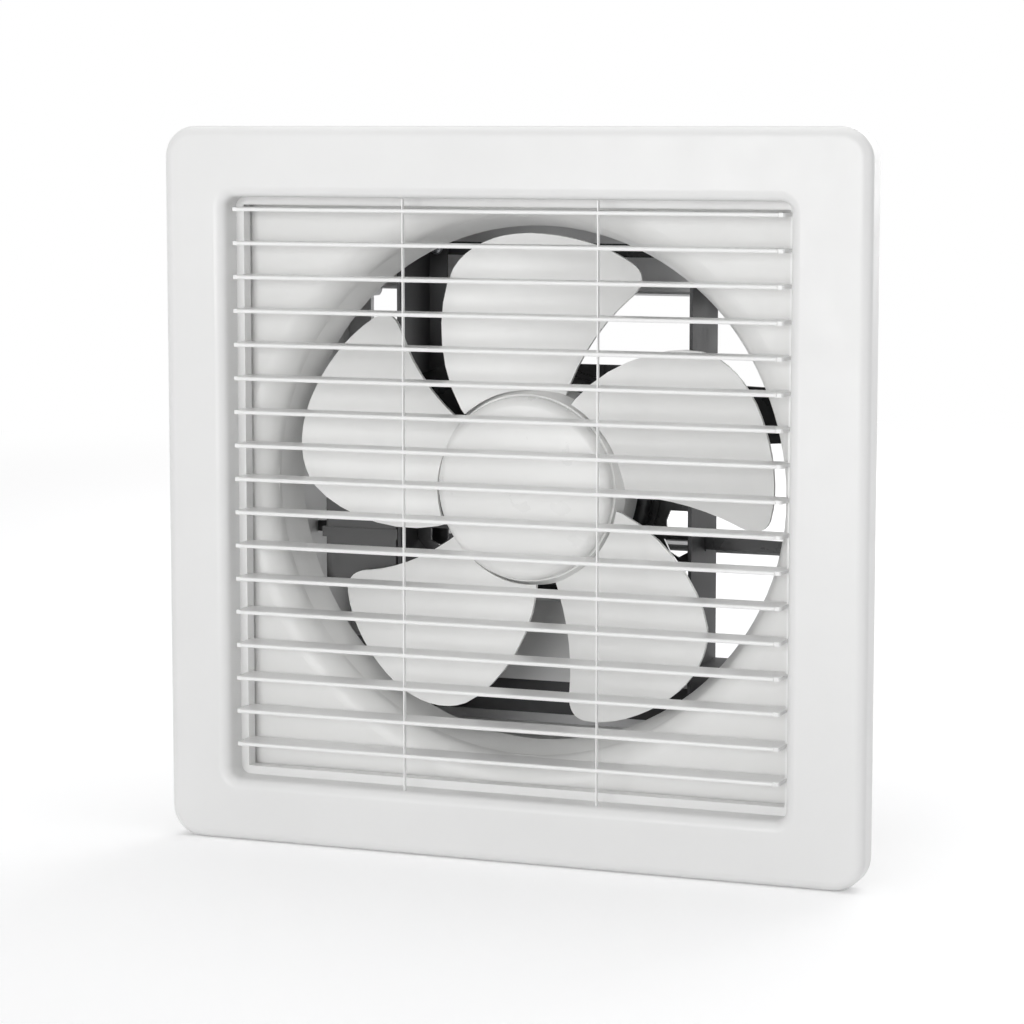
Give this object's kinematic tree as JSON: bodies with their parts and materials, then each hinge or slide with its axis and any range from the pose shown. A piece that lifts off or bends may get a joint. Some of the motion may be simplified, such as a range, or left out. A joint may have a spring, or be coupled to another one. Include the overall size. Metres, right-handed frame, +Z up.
{
  "type": "wall exhaust fan",
  "caption": "Square wall exhaust fan with a louvred cover, a broad-bladed impeller in a bell mouth, a motor on a bracket and linked rear shutters.",
  "frame": {"origin": "on the fan axis, in the plane of the wall, at the middle of the wall screw holes", "axes": "-Y faces the room, +Y goes through the wall, +Z is up, +X is to the right as seen from the room"},
  "size_m": [0.35, 0.1898, 0.346],
  "materials": {
    "white_plastic": "satin moulded",
    "grey_plastic": "satin moulded",
    "dark_plastic": "satin moulded",
    "black_steel": "gloss painted",
    "bright_steel": "zinc plated",
    "laminated_steel": "stacked sheet",
    "copper_wire": "varnished wire",
    "bearing_bronze": "sintered"
  },
  "bodies": {
    "housing": {"fan_housing": "white_plastic", "left_leg": "black_steel", "right_leg": "black_steel", "top_tie_bar": "black_steel", "bottom_tie_plate": "black_steel", "motor_bracket": "black_steel", "leg_screws": "bright_steel", "shelf_screws": "bright_steel", "bracket_screws": "bright_steel", "tie_screws": "bright_steel", "motor_front_shell": "black_steel", "motor_rear_shell": "black_steel", "stator_core": "laminated_steel", "stator_windings": "copper_wire", "front_bearing": "bearing_bronze", "rear_bearing": "bearing_bronze", "motor_screws": "bright_steel", "terminal_box": "grey_plastic", "terminal_box_lid": "grey_plastic", "lid_screws": "bright_steel", "cable_gland": "dark_plastic", "capacitor": "dark_plastic", "capacitor_strap": "bright_steel", "shutter_frame": "grey_plastic", "frame_screws": "bright_steel"},
    "cover": {"front_panel": "white_plastic", "louvre_grille": "white_plastic", "cover_clips": "bright_steel"},
    "rotor": {"impeller": "white_plastic", "spinner_cap": "white_plastic", "motor_shaft": "bright_steel", "rotor_core": "laminated_steel", "drive_pin": "bright_steel", "impeller_nut": "bright_steel"},
    "top_shutter": {"top_shutter": "grey_plastic"},
    "middle_shutter": {"middle_shutter": "grey_plastic"},
    "bottom_shutter": {"bottom_shutter": "grey_plastic"},
    "link_rod": {"link_rod": "bright_steel"}
  },
  "joints": [
    {"name": "cover_pull", "type": "slide", "parent": "housing", "child": "cover", "axis": [0, -1, 0], "range_m": [0, 0.06]},
    {"name": "impeller_spin", "type": "hinge", "parent": "housing", "child": "rotor", "pos_m": [0, 0.03, 0], "axis": [0, 1, 0], "continuous": true},
    {"name": "top_shutter_hinge", "type": "hinge", "parent": "housing", "child": "top_shutter", "pos_m": [0, 0.116, 0.09], "axis": [1, 0, 0], "range_deg": [-84.5, 0]},
    {"name": "middle_shutter_hinge", "type": "hinge", "parent": "housing", "child": "middle_shutter", "pos_m": [0, 0.116, 0.026], "axis": [1, 0, 0], "range_deg": [-84.5, 0]},
    {"name": "bottom_shutter_hinge", "type": "hinge", "parent": "housing", "child": "bottom_shutter", "pos_m": [0, 0.116, -0.038], "axis": [1, 0, 0], "range_deg": [-84.5, 0]},
    {"name": "link_rod_pivot", "type": "hinge", "parent": "top_shutter", "child": "link_rod", "pos_m": [0.112, 0.10641, 0.08122], "axis": [1, 0, 0], "range_deg": [0, 84.5]}
  ],
  "couplings": [
    {"joint": "middle_shutter_hinge", "follows": "top_shutter_hinge", "ratio": 1},
    {"joint": "bottom_shutter_hinge", "follows": "top_shutter_hinge", "ratio": 1},
    {"joint": "link_rod_pivot", "follows": "top_shutter_hinge", "ratio": -1}
  ]
}
